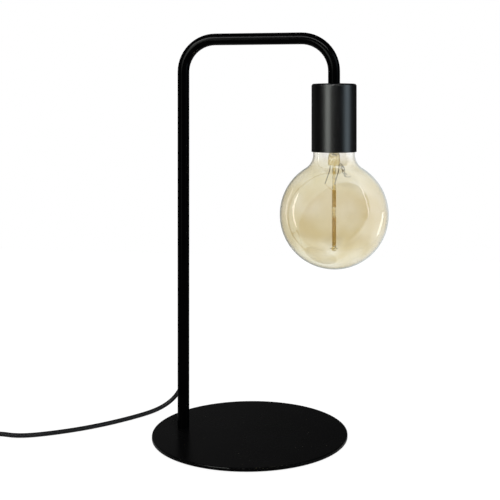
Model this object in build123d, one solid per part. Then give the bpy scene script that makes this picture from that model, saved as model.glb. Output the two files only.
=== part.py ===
from build123d import *
import os
from math import atan2, cos, degrees, pi, radians, sin, sqrt, tan

# A table lamp: a round base, a tube bent twice into an arch, a lamp holder inside a straight
# cover, and a globe bulb. Its lead carries an inline switch, a coil of spare length and a plug.
# Sizes are in millimetres. The origin is the middle of the underside of the base, +Z is up,
# and +X runs from the upright of the tube to the bulb.

# Base
base_diameter = 173.0
base_thickness = 3.0
base_edge_round = 0.9
base_lower_round = 0.4
pad_thickness = 1.0
pad_rim = 4.0
pad_window = 15.0
screw_diameter = 5.0
screw_length = 13.0
screw_head_diameter = 9.2
screw_hole = 5.5
screw_head_play = 0.1
screw_socket = 3.0
screw_socket_depth = 1.6

# Tube
tube_diameter = 10.5
tube_wall = 1.25
tube_inset = 25.5
arm_height = 348.5
reach = 136.0
bend_radius = 29.0
thread_diameter = 10.0
thread_length = 11.5
foot_plug_height = 14.0

# Lead and the strain relief that brings it out of the tube
cord_diameter = 4.0
exit_height = 29.4
exit_turn = 102.0
exit_hole = 6.2
relief_length = 21.75
relief_root = 7.2
relief_tip = 5.4
relief_flange = 8.8
relief_flange_thickness = 1.5
relief_neck_start = 2.6
relief_groove_count = 4
relief_groove_width = 1.2
relief_groove_depth = 0.4
relief_groove_pitch = 4.0
inner_bend = 4.3
inner_lean = 1.8
core_diameter = 1.8
core_spacing = 1.9
core_bend = 1.2
lead_end_drop = 0.5
lead_first_run = 13.2
lead_last_run = 13.0

# Socket cover
cover_diameter = 39.5
cover_height = 59.6
cover_wall = 1.0
cover_edge_round = 2.0
cover_rim_round = 0.4
cover_drop = 40.2

# Holder inside the cover
washer_diameter = 16.0
washer_thickness = 0.8
nut_across_flats = 14.0
nut_thickness = 3.0
nut_bevel = 0.3
holder_cap_gap = 0.55
holder_cap_wall = 1.3
holder_cap_room = 11.0
holder_cap_top = 2.0
holder_cap_skirt = 20.5
holder_cap_ledge = 2.3
holder_cap_round = 1.5
hub_diameter = 16.0
hub_length = 7.0
block_thickness = 6.0
block_ledge = 1.8
body_length = 33.9
body_mouth = 1.0
shell_wall = 0.4
shell_length = 25.0
shell_flange_bore = 19.0
contact_thickness = 0.5
contact_width = 6.0
contact_drop = 4.1
contact_root = 8.8
contact_bend = 5.2
contact_flat = 1.9
contact_lip = 1.5
contact_lip_rise = 0.9
terminal_diameter = 2.5
terminal_head = 4.8
terminal_head_height = 1.6
terminal_edge_round = 0.4
terminal_slot_width = 0.6
terminal_slot_depth = 0.6
centre_terminal = 6.5
shell_terminal = -11.2

# Bulb
globe_diameter = 95.0
bulb_length = 136.0
glass_wall = 0.8
neck_diameter = 36.6
neck_blend = 14.0
shoulder_drop = 32.5
shoulder_end_drop = 27.4
shoulder_round = 3.0
shoulder_hollow = 2.0
glass_top_drop = 23.8
bulb_cap_diameter = 26.2
bulb_cap_wall = 0.3
bulb_cap_length = 26.2
bulb_cap_rim_drop = 6.4
bulb_cap_top_drop = 4.8
bulb_cap_mouth = 20.4
bulb_cap_lip = 0.2
insulator_top = 10.8
insulator_height = 3.8
insulator_bevel = 1.0
wire_passage = 1.6
tip_diameter = 9.2
tip_height = 1.9
tip_round = 0.8
thread_play = 0.3
stem_tube_diameter = 8.8
stem_wall = 0.8
stem_flare_drop = 29.8
stem_foot = 1.6
press_top_drop = 34.0
press_width = 10.5
press_thickness = 4.6
press_length = 8.1
press_taper = 3.9
rod_diameter = 2.9
rod_length = 72.4
rod_overlap = 0.2
button_diameter = 4.6
lead_wire_diameter = 0.7
lead_wire_bend = 2.0
lead_wire_fall = 3.4
lead_wire_lean = 0.2
left_wire_root = -3.4
left_wire_end = (-8.0, 0.3, -15.8)
right_wire_root = 4.3
right_wire_end = (1.3, -7.8, -15.6)
upper_wire_root = 1.8
tip_wire_rise = 9.0
tip_wire_crossing = 17.0
cap_wire_rise = 12.0
cap_wire_crossing = 18.0
cap_wire_reach = 9.0
filament_diameter = 3.9
filament_leg = 0.3
upper_winding = 14.9
lower_winding = 25.3
winding_gap = 8.7
winding_end = 2.4
winding_last_turn = 1.0
support_diameter = 0.5
support_reach = 3.4
support_hold = 0.6
hook_reach = 5.2
hook_bend = 0.6

# Inline switch
switch_length = 60.0
switch_width = 26.0
switch_height = 17.0
switch_split = 6.5
switch_wall = 1.6
switch_end_wall = 5.0
switch_corner = 9.0
switch_lower_round = 1.5
switch_upper_round = 3.0
switch_place = (-257.0, -64.25)
switch_turn = 201.0
switch_cord_stop = 1.0
rocker_radius = 11.4
rocker_width = 11.5
rocker_low_angle = 8.0
rocker_high_angle = 27.0
rocker_dip = 3.6
rocker_depth = 3.5
rocker_foot = 4.0
rocker_tilt = 10.0
rocker_play = 0.3
pivot_height = 13.0
axle_diameter = 2.5
cheek_thickness = 1.4
cheek_length = 14.0
cheek_depth = 6.0
switch_screw = 2.3
switch_screw_head = 4.4
switch_screw_x = 19.0
switch_screw_y = 8.0
switch_screw_recess = 2.0
switch_screw_sunk = 0.3
switch_screw_reach = 6.0
screw_cross_length = 2.8
screw_cross_width = 0.6
screw_cross_depth = 0.8
switch_boss = 5.6
contact_foot = 7.0
contact_leaf = 0.6
contact_leaf_x = 8.0
contact_leaf_top = 8.4

# Coil of spare lead, and the ties round it
coil_radius = 29.2
coil_pitch = 4.6
coil_rise = 4.6
coil_loop_count = 2
coil_layer_count = 4
coil_lead_run = 13.0
coil_lead_bend = 9.0
tie_thickness = 0.8
tie_width = 5.0
tie_play = 0.35
tie_corner = 2.0
tie_angles = (0.0, 180.0)

# Plug
plug_width = 35.3
plug_thickness = 13.7
plug_top_width = 26.0
plug_front = 14.0
plug_length = 37.0
plug_rear_width = 15.0
plug_rear_thickness = 10.4
plug_rear_top_width = 10.0
plug_round = 2.0
plug_turn = 90.0
plug_lead_run = 14.0
plug_lead_bend_count = 3
pin_diameter = 4.0
pin_sleeve_diameter = 3.6
pin_core_diameter = 2.8
pin_length = 19.0
pin_sleeve_length = 10.0
pin_spacing = 19.0
boot_length = 24.0
boot_root = 9.2
boot_tip = 5.4
boot_groove_count = 4
boot_groove_width = 1.4
boot_groove_depth = 0.6
boot_groove_pitch = 4.4
boot_plain_root = 5.0

# Clearances
fit_play = 0.05
hinge_play = 0.05
contact_play = 0.1

# Sizes that follow from the ones above
base_top = pad_thickness + base_thickness
upright_x = tube_inset - base_diameter / 2
drop_x = upright_x + reach
arm_z = base_top + arm_height
tube_radius = tube_diameter / 2
tube_bore = tube_radius - tube_wall
cord_radius = cord_diameter / 2
exit_z = base_top + exit_height
exit_way = Vector(cos(radians(exit_turn)), sin(radians(exit_turn)), 0)
relief_end = tube_radius + relief_length
cover_top_z = arm_z - cover_drop
cover_inner = cover_diameter / 2 - cover_wall
washer_top_z = cover_top_z - cover_wall
nut_top_z = washer_top_z - washer_thickness
holder_top_z = nut_top_z - nut_thickness
hub_end_z = holder_top_z - hub_length
block_top_z = holder_top_z - holder_cap_room
block_bottom_z = block_top_z - block_thickness
bulb_tip_z = block_bottom_z - contact_drop
press_top_z = bulb_tip_z - press_top_drop
press_low_z = press_top_z - press_taper - press_length
rod_end_z = press_low_z - rod_length
globe_radius = globe_diameter / 2
globe_z = bulb_tip_z - bulb_length + globe_radius
bulb_cap_radius = bulb_cap_diameter / 2
seat_radius = bulb_cap_radius - bulb_cap_wall - fit_play
shell_inner = bulb_cap_radius + thread_play
shell_outer = shell_inner + shell_wall
body_bore = shell_outer + fit_play
holder_cap_outer = cover_inner - holder_cap_gap
holder_cap_inner = holder_cap_outer - holder_cap_wall
body_outer = holder_cap_inner - fit_play
block_radius = body_bore + block_ledge
lead_end_z = hub_end_z - lead_end_drop
coil_floor_z = tie_thickness + cord_radius + fit_play
coil_turns = coil_layer_count * coil_loop_count + (coil_layer_count - 1) / 2
coil_top_z = coil_floor_z + (coil_layer_count - 1) * coil_rise
plug_z = plug_thickness / 2


def ring(outer, inner, bottom, top):
    """A round wall about the Z axis, from its two radii and its two heights."""
    low = (Align.CENTER, Align.CENTER, Align.MIN)
    wall = Cylinder(outer, top - bottom, align=low) - Cylinder(inner, top - bottom, align=low)
    return Pos(0, 0, bottom) * wall


def disc(radius, bottom, top):
    """A solid round about the Z axis."""
    low = (Align.CENTER, Align.CENTER, Align.MIN)
    return Pos(0, 0, bottom) * Cylinder(radius, top - bottom, align=low)


def turned(points):
    """A solid turned about the Z axis from a closed outline of (radius, height) points."""
    return revolve(Plane.XZ * make_face(Polyline(*points, close=True)), axis=Axis.Z)


def rod(path, radius):
    """A round bar along a path."""
    start = Plane(origin=path @ 0, z_dir=path % 0)
    return sweep(start * Circle(radius), path=path)


def straight(start, end, radius):
    """A round bar from one point to another."""
    return rod(Line(start, end), radius)


def corner_radii(points):
    """The largest radius that each corner of a free cord's route has room for."""
    places = [Vector(*p) for p in points]
    radii = []
    for before, here, after in zip(places, places[1:], places[2:]):
        run_in = here - before
        run_out = after - here
        shorter = min(run_in.length, run_out.length)
        turn = radians(run_in.get_angle(run_out))
        radii.append(0.45 * shorter / tan(turn / 2))
    return radii


def cord(name, points):
    """A free stretch of lead along its route, with the radii of its corners printed."""
    radii = corner_radii(points)
    path = FilletPolyline(*points, radius=radii)
    tube = rod(path, cord_radius)
    section = pi * cord_radius**2
    print(name, "radii", [round(r, 1) for r in radii], "length", round(path.length, 1))
    print(name, "volume over section times length", round(tube.volume / (section * path.length), 4))
    return tube


def base_plate():
    """A flat disc with a softened edge, and a countersunk hole under the tube."""
    plate = disc(base_diameter / 2, pad_thickness, base_top)
    plate = fillet(plate.edges().sort_by(Axis.Z)[-1], base_edge_round)
    plate = fillet(plate.edges().sort_by(Axis.Z)[0], base_lower_round)
    mouth = screw_head_diameter / 2 + 2 * screw_head_play
    hole = screw_hole / 2
    sink = turned([
        (0, pad_thickness),
        (mouth, pad_thickness),
        (hole, pad_thickness + mouth - hole),
        (hole, base_top),
        (0, base_top),
    ])
    return plate - Pos(upright_x, 0, 0) * sink


def base_pad():
    """The soft sheet under the plate, open where the screw is reached."""
    pad = disc(base_diameter / 2 - pad_rim, 0, pad_thickness)
    return pad - Pos(upright_x, 0, 0) * disc(pad_window / 2, 0, pad_thickness)


def base_screw():
    """A countersunk screw with a hexagon socket, up through the plate into the tube's foot."""
    head = screw_head_diameter / 2
    shank = screw_diameter / 2
    bottom = pad_thickness + screw_head_play
    screw = turned([
        (0, bottom),
        (head, bottom),
        (shank, bottom + head - shank),
        (shank, bottom + screw_length),
        (0, bottom + screw_length),
    ])
    socket = extrude(RegularPolygon(screw_socket / 2, 6, major_radius=False), screw_socket_depth)
    return Pos(upright_x, 0, 0) * (screw - Pos(0, 0, bottom) * socket)


def foot_plug():
    """The threaded plug fixed in the foot of the tube."""
    inner = screw_diameter / 2 + fit_play
    return Pos(upright_x, 0, 0) * ring(
        tube_bore - fit_play, inner, base_top, base_top + foot_plug_height
    )


def tube_route(end_z, shift=Vector(0, 0, 0)):
    """The corners of the tube's centre line, from its foot to a height on the drop."""
    return [
        Vector(upright_x, 0, base_top) + shift,
        Vector(upright_x, 0, arm_z) + shift,
        Vector(drop_x, 0, arm_z) + shift,
        Vector(drop_x, 0, end_z) + shift,
    ]


def exit_place(height):
    """The frame of the lead's way out: its Z axis points out of the back of the tube."""
    return Plane(origin=(upright_x, 0, height), z_dir=exit_way).location


def stem_tube():
    """The bent tube, threaded at the holder's end, with the lead's hole in its back."""
    path = FilletPolyline(*tube_route(cover_top_z), radius=bend_radius)
    tube = rod(path, tube_radius) - rod(path, tube_bore)
    thread = ring(thread_diameter / 2 - fit_play, tube_bore, cover_top_z - thread_length, cover_top_z)
    hole = exit_place(exit_z) * disc(exit_hole / 2, 0, tube_diameter)
    return tube + Pos(drop_x, 0, 0) * thread - hole


def grooved(boot, tip_radius, root_radius, root, tip, first, count, pitch, width, depth):
    """Cuts evenly spaced rings into a tapered boot that is turned about the Z axis."""
    for i in range(count):
        low = first + i * pitch
        share = (low + width / 2 - root) / (tip - root)
        left = root_radius + (tip_radius - root_radius) * share - depth
        boot -= ring(root_radius + width, left, low, low + width)
    return boot


def cord_relief():
    """The strain relief: a neck in the tube's hole, a flange on its back and a tapered boot."""
    bore = cord_radius + fit_play
    flange_end = tube_radius + relief_flange_thickness
    tip_radius = relief_tip / 2
    root_radius = relief_root / 2
    boot = turned([
        (bore, flange_end),
        (root_radius, flange_end),
        (tip_radius, relief_end),
        (bore, relief_end),
    ])
    boot = grooved(
        boot, tip_radius, root_radius, flange_end, relief_end,
        flange_end + relief_groove_pitch / 2, relief_groove_count, relief_groove_pitch,
        relief_groove_width, relief_groove_depth,
    )
    flange = ring(relief_flange / 2, bore, relief_neck_start, flange_end)
    neck = ring(exit_hole / 2 - fit_play, bore, relief_neck_start, tube_radius + fit_play)
    place = exit_place(exit_z)
    back = Pos(upright_x, 0, 0) * disc(tube_radius + fit_play / 2, base_top, arm_z)
    return place * neck + (place * flange - back) + place * boot


def inner_lead():
    """The lead inside the tube, from the strain relief to the holder. It leans on one wall."""
    lean = exit_way * -inner_lean
    foot, top, over, _ = tube_route(lead_end_z, lean)
    corner = Vector(foot.X, foot.Y, exit_z)
    start = Vector(upright_x, 0, exit_z) + exit_way * relief_end
    end = Vector(over.X, over.Y, lead_end_z)
    path = FilletPolyline(start, corner, top, over, end, radius=[inner_bend, bend_radius, bend_radius])
    print("lead inside the tube, length", round(path.length, 1))
    return rod(path, cord_radius)


def terminals():
    """Where the two terminal screws stand on the block."""
    return [Vector(drop_x + centre_terminal, 0, 0), Vector(drop_x + shell_terminal, 0, 0)]


def lead_cores():
    """The two insulated cores, opened out from the lead's end to the terminal screws."""
    lean = exit_way * -inner_lean
    height = block_top_z + core_diameter / 2 + fit_play
    cores = []
    for side, screw in zip((1, -1), terminals()):
        start = Vector(drop_x + lean.X + side * core_spacing / 2, lean.Y, lead_end_z)
        corner = Vector(start.X, start.Y, height)
        way = Vector(start.X, start.Y, 0) - screw
        end = screw + way.normalized() * (terminal_head / 2 + 2 * fit_play)
        end = Vector(end.X, end.Y, height)
        cores.append(rod(FilletPolyline(start, corner, end, radius=core_bend), core_diameter / 2))
    return cores


def socket_cover():
    """The straight steel cup over the holder, open below, with the tube's hole in its top."""
    low = cover_top_z - cover_height
    cup = disc(cover_diameter / 2, low, cover_top_z)
    cup = fillet(cup.edges().sort_by(Axis.Z)[-1], cover_edge_round)
    cup = fillet(cup.edges().sort_by(Axis.Z)[0], cover_rim_round)
    hollow = disc(cover_inner, low, cover_top_z - cover_wall)
    hollow = fillet(hollow.edges().sort_by(Axis.Z)[-1], cover_edge_round - cover_wall)
    hole = disc(thread_diameter / 2 + fit_play, cover_top_z - cover_wall, cover_top_z)
    return Pos(drop_x, 0, 0) * (cup - hollow - hole)


def lock_washer():
    """The washer between the cover and the lock nut."""
    return Pos(drop_x, 0, 0) * ring(
        washer_diameter / 2, thread_diameter / 2 + fit_play, nut_top_z, washer_top_z
    )


def lock_nut():
    """The thin hexagon nut that clamps the cover against the tube's shoulder."""
    hexagon = RegularPolygon(nut_across_flats / 2, 6, major_radius=False)
    nut = Pos(0, 0, holder_top_z) * extrude(hexagon, nut_thickness)
    corners = nut_across_flats / sqrt(3)
    narrow = corners - nut_bevel
    cone = Pos(0, 0, holder_top_z) * Cone(
        narrow + nut_thickness / 2, narrow, nut_thickness, align=(Align.CENTER, Align.CENTER, Align.MIN)
    )
    return Pos(drop_x, 0, 0) * (nut & cone) - Pos(drop_x, 0, 0) * disc(
        thread_diameter / 2, holder_top_z, nut_top_z
    )


def holder_cap():
    """The holder's upper half: a threaded hub, a top and a skirt that screws over the body."""
    bore = thread_diameter / 2
    hub = hub_diameter / 2
    ledge = holder_cap_inner - holder_cap_ledge
    under_top = holder_top_z - holder_cap_top
    rim = block_top_z + fit_play
    low = holder_top_z - holder_cap_skirt
    cap = turned([
        (bore, holder_top_z),
        (holder_cap_outer, holder_top_z),
        (holder_cap_outer, low),
        (holder_cap_inner, low),
        (holder_cap_inner, rim),
        (ledge, rim),
        (ledge, under_top),
        (hub, under_top),
        (hub, hub_end_z),
        (bore, hub_end_z),
    ])
    outer_edge = cap.edges().filter_by(GeomType.CIRCLE).group_by(Axis.Z)[-1].sort_by(SortBy.RADIUS)[-1]
    return Pos(drop_x, 0, 0) * fillet(outer_edge, holder_cap_round)


def holder_body():
    """The insulating sleeve round the screw shell, with a recess for the terminal block."""
    low = block_top_z - body_length
    mouth = body_bore + body_mouth
    return Pos(drop_x, 0, 0) * turned([
        (block_radius + fit_play, block_top_z),
        (body_outer, block_top_z),
        (body_outer, low),
        (mouth, low),
        (body_bore, low + body_mouth),
        (body_bore, block_bottom_z),
        (block_radius + fit_play, block_bottom_z),
    ])


def terminal_block():
    """The insulating disc that carries both contacts, bored for their screws."""
    block = Pos(drop_x, 0, 0) * disc(block_radius, block_bottom_z, block_top_z)
    for screw in terminals():
        block -= Pos(screw) * disc(terminal_diameter / 2 + fit_play, block_bottom_z, block_top_z)
    return block


def screw_shell():
    """The brass shell that takes the bulb's cap, with a flange under the terminal block."""
    flange = ring(shell_outer, shell_flange_bore / 2, block_bottom_z - shell_wall, block_bottom_z)
    sleeve = ring(shell_outer, shell_inner, block_bottom_z - shell_length, block_bottom_z)
    hole = Pos(terminals()[1]) * disc(
        terminal_diameter / 2 + fit_play, block_bottom_z - shell_wall, block_bottom_z
    )
    return Pos(drop_x, 0, 0) * (sleeve + flange) - hole


def centre_contact():
    """The springy tongue over the bulb's tip, bent from strip."""
    half = contact_thickness / 2
    top = block_bottom_z - half
    low = bulb_tip_z + contact_play + half
    line = Polyline(
        (contact_root, top),
        (contact_bend, top),
        (contact_flat, low),
        (-contact_flat, low),
        (-contact_flat - contact_lip, low + contact_lip_rise),
    )
    strip = extrude(Plane.XZ * trace(line, line_width=contact_thickness), contact_width / 2, both=True)
    hole = Pos(centre_terminal, 0, 0) * disc(
        terminal_diameter / 2 + fit_play, bulb_tip_z, block_bottom_z
    )
    return Pos(drop_x, 0, 0) * (strip - hole)


def terminal_screws():
    """Two slotted brass screws: one for the centre contact, one for the shell."""
    screws = []
    for place in terminals():
        low = block_bottom_z - contact_thickness
        shank = disc(terminal_diameter / 2, low, block_top_z)
        head = disc(terminal_head / 2, block_top_z, block_top_z + terminal_head_height)
        head = fillet(head.edges().sort_by(Axis.Z)[-1], terminal_edge_round)
        slot = Box(terminal_head, terminal_slot_width, 2 * terminal_slot_depth)
        slot = Pos(0, 0, block_top_z + terminal_head_height) * slot
        screws.append(Pos(place) * (shank + head - slot))
    return screws


def glass_outline(inset, top):
    """Half the bulb's outline as a face: globe, hollow blend, neck, shoulder and seat."""
    radius = globe_radius - inset
    neck = neck_diameter / 2 - inset
    seat = seat_radius - inset
    reach_out = globe_radius + neck_blend
    blend_x = neck_diameter / 2 + neck_blend
    blend_z = sqrt(reach_out**2 - blend_x**2)
    blend = neck_blend + inset
    meet = atan2(blend_z, blend_x)
    middle = (meet - pi / 2) / 2
    back = (meet + pi + pi) / 2
    globe_arc = ThreePointArc(
        (0, globe_z - radius),
        (radius * cos(middle), globe_z + radius * sin(middle)),
        (radius * cos(meet), globe_z + radius * sin(meet)),
    )
    blend_arc = ThreePointArc(
        globe_arc @ 1,
        (blend_x + blend * cos(back), globe_z + blend_z + blend * sin(back)),
        (neck, globe_z + blend_z),
    )
    upper = FilletPolyline(
        blend_arc @ 1,
        (neck, bulb_tip_z - shoulder_drop),
        (seat, bulb_tip_z - shoulder_end_drop),
        (seat, top),
        radius=[shoulder_round - inset, shoulder_hollow + inset],
    )
    close = Polyline((seat, top), (0, top), (0, globe_z - radius))
    return make_face([*globe_arc.edges(), *blend_arc.edges(), *upper.edges(), *close.edges()])


def bulb_glass():
    """The blown globe with its short neck, open at the top where the stem closes it."""
    top = bulb_tip_z - glass_top_drop
    outer = revolve(Plane.XZ * glass_outline(0, top), axis=Axis.Z)
    inner = revolve(Plane.XZ * glass_outline(glass_wall, top + 1), axis=Axis.Z)
    return Pos(drop_x, 0, 0) * (outer - inner)


def support_wires():
    """Short wires out of the button at the rod's lower end; one holds the filament's leg."""
    root = button_diameter / 2 - support_hold
    reaches = [(0, support_reach), (180, support_reach), (90, support_reach), (270, hook_reach)]
    wires = []
    for angle, far in reaches:
        out = Vector(cos(radians(angle)), sin(radians(angle)), 0)
        start = Vector(drop_x, 0, rod_end_z) + out * root
        wires.append(straight(start, start + out * (far - root), support_diameter / 2))
    return wires


def bulb_stem():
    """The glass stem: a flare on the neck, a tube, the flat press, the long rod and its button."""
    seat = seat_radius
    rim = bulb_tip_z - glass_top_drop
    tube = stem_tube_diameter / 2
    neck_z = bulb_tip_z - stem_flare_drop
    flare = turned([
        (seat, rim),
        (seat, rim + stem_wall),
        (seat - stem_foot, rim + stem_wall),
        (tube - stem_wall, neck_z),
        (tube - stem_wall, press_top_z),
        (tube, press_top_z),
        (tube, neck_z - stem_wall / 2),
        (seat - stem_foot + stem_wall / 2, rim),
    ])
    round_end = Pos(0, 0, press_top_z) * Circle(tube)
    flat_end = Pos(0, 0, press_top_z - press_taper) * Ellipse(press_width / 2, press_thickness / 2)
    press = loft([round_end, flat_end])
    press += extrude(flat_end, -press_length)
    glass = flare + press + disc(rod_diameter / 2, rod_end_z, press_low_z + rod_overlap)
    glass += Pos(0, 0, rod_end_z) * Sphere(button_diameter / 2)
    glass = Pos(drop_x, 0, 0) * glass
    for wire in support_wires():
        glass -= wire
    return glass


def bulb_place(place, height):
    """A point about the bulb's axis, with its height measured from another one."""
    x, y, z = place
    return Vector(drop_x + x, y, height + z)


def bulb_lead_wires():
    """The two wires below the press, and the two above it that go to the cap and its tip."""
    cap_side = bulb_cap_wall + fit_play - bulb_cap_radius
    tip_side = bulb_tip_z - tip_height - 4 * fit_play - press_top_z
    lower_routes = [
        [(left_wire_root, 0, 0), (left_wire_root - lead_wire_lean, 0, -lead_wire_fall), left_wire_end],
        [(right_wire_root, 0, 0), (right_wire_root, -2 * lead_wire_lean, -lead_wire_fall), right_wire_end],
    ]
    upper_routes = [
        [
            (upper_wire_root, 0, 0),
            (upper_wire_root, 0, tip_wire_rise),
            (0, 0, tip_wire_crossing),
            (0, 0, tip_side),
        ],
        [
            (-upper_wire_root, 0, 0),
            (-upper_wire_root, 0, cap_wire_rise),
            (-cap_wire_reach, 0, cap_wire_crossing),
            (cap_side, 0, cap_wire_crossing + lead_wire_lean),
        ],
    ]
    wires = []
    for height, routes in ((press_low_z, lower_routes), (press_top_z, upper_routes)):
        for route in routes:
            places = [bulb_place(place, height) for place in route]
            wires.append(rod(FilletPolyline(*places, radius=lead_wire_bend), lead_wire_diameter / 2))
    return wires


def bulb_filament():
    """The wire wound close round the rod in two sections, with its link and its two thin legs."""
    inner = rod_diameter / 2 + fit_play / 2
    outer = filament_diameter / 2
    lower_low = rod_end_z + winding_end
    lower_top = lower_low + lower_winding
    upper_low = lower_top + winding_gap
    upper_top = upper_low + upper_winding
    leg = filament_leg / 2
    link = (inner + outer) / 2
    hook_z = rod_end_z + support_diameter
    windings = ring(outer, inner, upper_low, upper_top) + ring(outer, inner, lower_low, lower_top)
    windings += straight((-link, 0, upper_low), (-link, 0, lower_top), leg)
    windings = Pos(drop_x, 0, 0) * windings
    left_start = bulb_place(left_wire_end, press_low_z) + Vector(filament_leg, 0, -2 * fit_play)
    left_leg = straight(left_start, (drop_x - link, 2 * fit_play, upper_top + leg), leg)
    right_start = bulb_place(right_wire_end, press_low_z) + Vector(0, fit_play, -4 * fit_play)
    hook = Vector(drop_x, leg - hook_reach, hook_z)
    last_turn = Vector(drop_x, -outer - leg, lower_low + winding_last_turn)
    right_leg = rod(FilletPolyline(right_start, hook, last_turn, radius=hook_bend), leg)
    return [*windings.solids(), left_leg, right_leg]


def bulb_cap():
    """The thin screw cap, crimped in towards the insulator."""
    low = bulb_tip_z - bulb_cap_length
    bend = bulb_tip_z - bulb_cap_rim_drop
    top = bulb_tip_z - bulb_cap_top_drop
    mouth = bulb_cap_mouth / 2
    inner = bulb_cap_radius - bulb_cap_wall
    return Pos(drop_x, 0, 0) * turned([
        (inner, low),
        (bulb_cap_radius, low),
        (bulb_cap_radius, bend),
        (mouth + bulb_cap_lip, top),
        (mouth, top - bulb_cap_wall),
        (inner, bend - bulb_cap_wall / 2),
    ])


def bulb_cap_insulator():
    """The black insulator between the cap and the tip, with a way for the wire."""
    top = bulb_tip_z - tip_height - contact_play
    low = top - insulator_height
    edge = bulb_cap_mouth / 2 - 2 * fit_play
    return Pos(drop_x, 0, 0) * turned([
        (wire_passage / 2, low),
        (edge, low),
        (edge, bulb_tip_z - bulb_cap_top_drop - bulb_cap_wall / 2),
        (edge - insulator_bevel, bulb_tip_z - bulb_cap_top_drop + insulator_bevel / 2),
        (insulator_top / 2, top),
        (wire_passage / 2, top),
    ])


def bulb_tip_contact():
    """The round contact on the bulb's tip."""
    tip = disc(tip_diameter / 2, bulb_tip_z - tip_height, bulb_tip_z)
    return Pos(drop_x, 0, 0) * fillet(tip.edges().sort_by(Axis.Z)[-1], tip_round)


def switch_at(shape):
    """Moves a shape from the switch's own frame, along its lead, to where it lies."""
    return Location((*switch_place, 0), (0, 0, switch_turn)) * shape


def switch_point(x, z):
    """A point on the switch's long middle plane."""
    turn = radians(switch_turn)
    return Vector(switch_place[0] + x * cos(turn), switch_place[1] + x * sin(turn), z)


def switch_block(low, high, inset, end_inset):
    """A rounded block of the switch's plan, drawn in at its sides and its ends."""
    plan = RectangleRounded(
        switch_length - 2 * end_inset, switch_width - 2 * inset, switch_corner - inset
    )
    return Pos(0, 0, low) * extrude(plan, high - low)


def switch_cord_way():
    """The round way that the lead has through both ends of the switch."""
    bar = Cylinder(cord_radius + fit_play, switch_length + cord_diameter)
    return Pos(0, 0, switch_split) * Rot(0, 90, 0) * bar


def switch_screw_places():
    """The two screws stand on a diagonal."""
    return [(switch_screw_x, switch_screw_y), (-switch_screw_x, -switch_screw_y)]


def switch_base():
    """The lower shell, with its screw posts."""
    shell = switch_block(0, switch_split, 0, 0)
    shell = fillet(shell.edges().group_by(Axis.Z)[0], switch_lower_round)
    shell -= switch_block(switch_wall, switch_split, switch_wall, switch_end_wall)
    shell -= switch_cord_way()
    for x, y in switch_screw_places():
        shell += Pos(x, y, 0) * disc(switch_boss / 2, switch_wall, switch_split)
    for x, y in switch_screw_places():
        shell -= Pos(x, y, 0) * disc(switch_screw / 2 + 2 * fit_play, 0, switch_split)
        shell -= Pos(x, y, 0) * disc(switch_screw_head / 2 + 2 * fit_play, 0, switch_screw_recess)
    return switch_at(shell)


def switch_cover():
    """The upper shell, with the rocker's window, the cheeks for its axle and the screw posts."""
    shell = switch_block(switch_split, switch_height, 0, 0)
    shell = fillet(shell.edges().group_by(Axis.Z)[-1], switch_upper_round)
    ceiling = switch_height - switch_wall
    shell -= switch_block(switch_split, ceiling, switch_wall, switch_end_wall)
    shell -= switch_cord_way()
    gap = rocker_width / 2 + rocker_play
    for x, y in switch_screw_places():
        shell += Pos(x, y, 0) * disc(switch_boss / 2, switch_split, ceiling)
    for side in (1, -1):
        cheek = Box(cheek_length, cheek_thickness, cheek_depth)
        shell += Pos(0, side * (gap + cheek_thickness / 2), ceiling - cheek_depth / 2) * cheek
    window = Box(2 * (rocker_radius + rocker_play), 2 * gap, 2 * switch_wall)
    shell -= Pos(0, 0, switch_height - switch_wall / 2) * window
    axle = Cylinder(axle_diameter / 2 + fit_play / 2, switch_width - 2 * switch_wall)
    shell -= Pos(0, 0, pivot_height) * Rot(90, 0, 0) * axle
    for x, y in switch_screw_places():
        shell -= Pos(x, y, 0) * disc(switch_screw / 2 + fit_play, switch_split, ceiling)
    return switch_at(shell)


def switch_rocker():
    """The rocker, its ends curved about its axle, at rest with one end pressed down."""
    low = radians(rocker_low_angle)
    high = radians(rocker_high_angle)
    radius = rocker_radius
    end_low = (radius * cos(low), -radius * sin(low))
    end_high = (radius * cos(high), radius * sin(high))
    right = ThreePointArc(end_low, (radius * cos((high - low) / 2), radius * sin((high - low) / 2)), end_high)
    top = Polyline(end_high, (0, rocker_dip), (-end_high[0], end_high[1]))
    left = ThreePointArc(
        (-end_high[0], end_high[1]),
        (-radius * cos((high - low) / 2), radius * sin((high - low) / 2)),
        (-end_low[0], end_low[1]),
    )
    under = Polyline(
        (-end_low[0], end_low[1]), (-rocker_foot, -rocker_depth), (rocker_foot, -rocker_depth), end_low
    )
    face = make_face([*right.edges(), *top.edges(), *left.edges(), *under.edges()])
    body = extrude(Plane.XZ * face, rocker_width / 2, both=True)
    body -= Rot(90, 0, 0) * Cylinder(axle_diameter / 2 + hinge_play, rocker_width)
    return switch_at(Pos(0, 0, pivot_height) * Rot(0, -rocker_tilt, 0) * body)


def switch_axle():
    """The pin that the rocker turns on, held in both cheeks."""
    length = rocker_width + 2 * rocker_play + 2 * cheek_thickness
    return switch_at(Pos(0, 0, pivot_height) * Rot(90, 0, 0) * Cylinder(axle_diameter / 2, length))


def switch_contacts():
    """Two brass contacts: a foot on the floor of the base and a leaf up under the rocker."""
    contacts = []
    for side in (1, -1):
        foot = Pos(side * (contact_leaf_x + contact_foot / 2), 0, switch_wall + contact_leaf / 2) * Box(
            contact_foot, contact_width, contact_leaf
        )
        height = contact_leaf_top - switch_wall
        leaf = Pos(side * contact_leaf_x, 0, switch_wall + height / 2) * Box(
            contact_leaf, contact_width, height
        )
        contacts.append(switch_at(foot + leaf))
    return contacts


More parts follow.
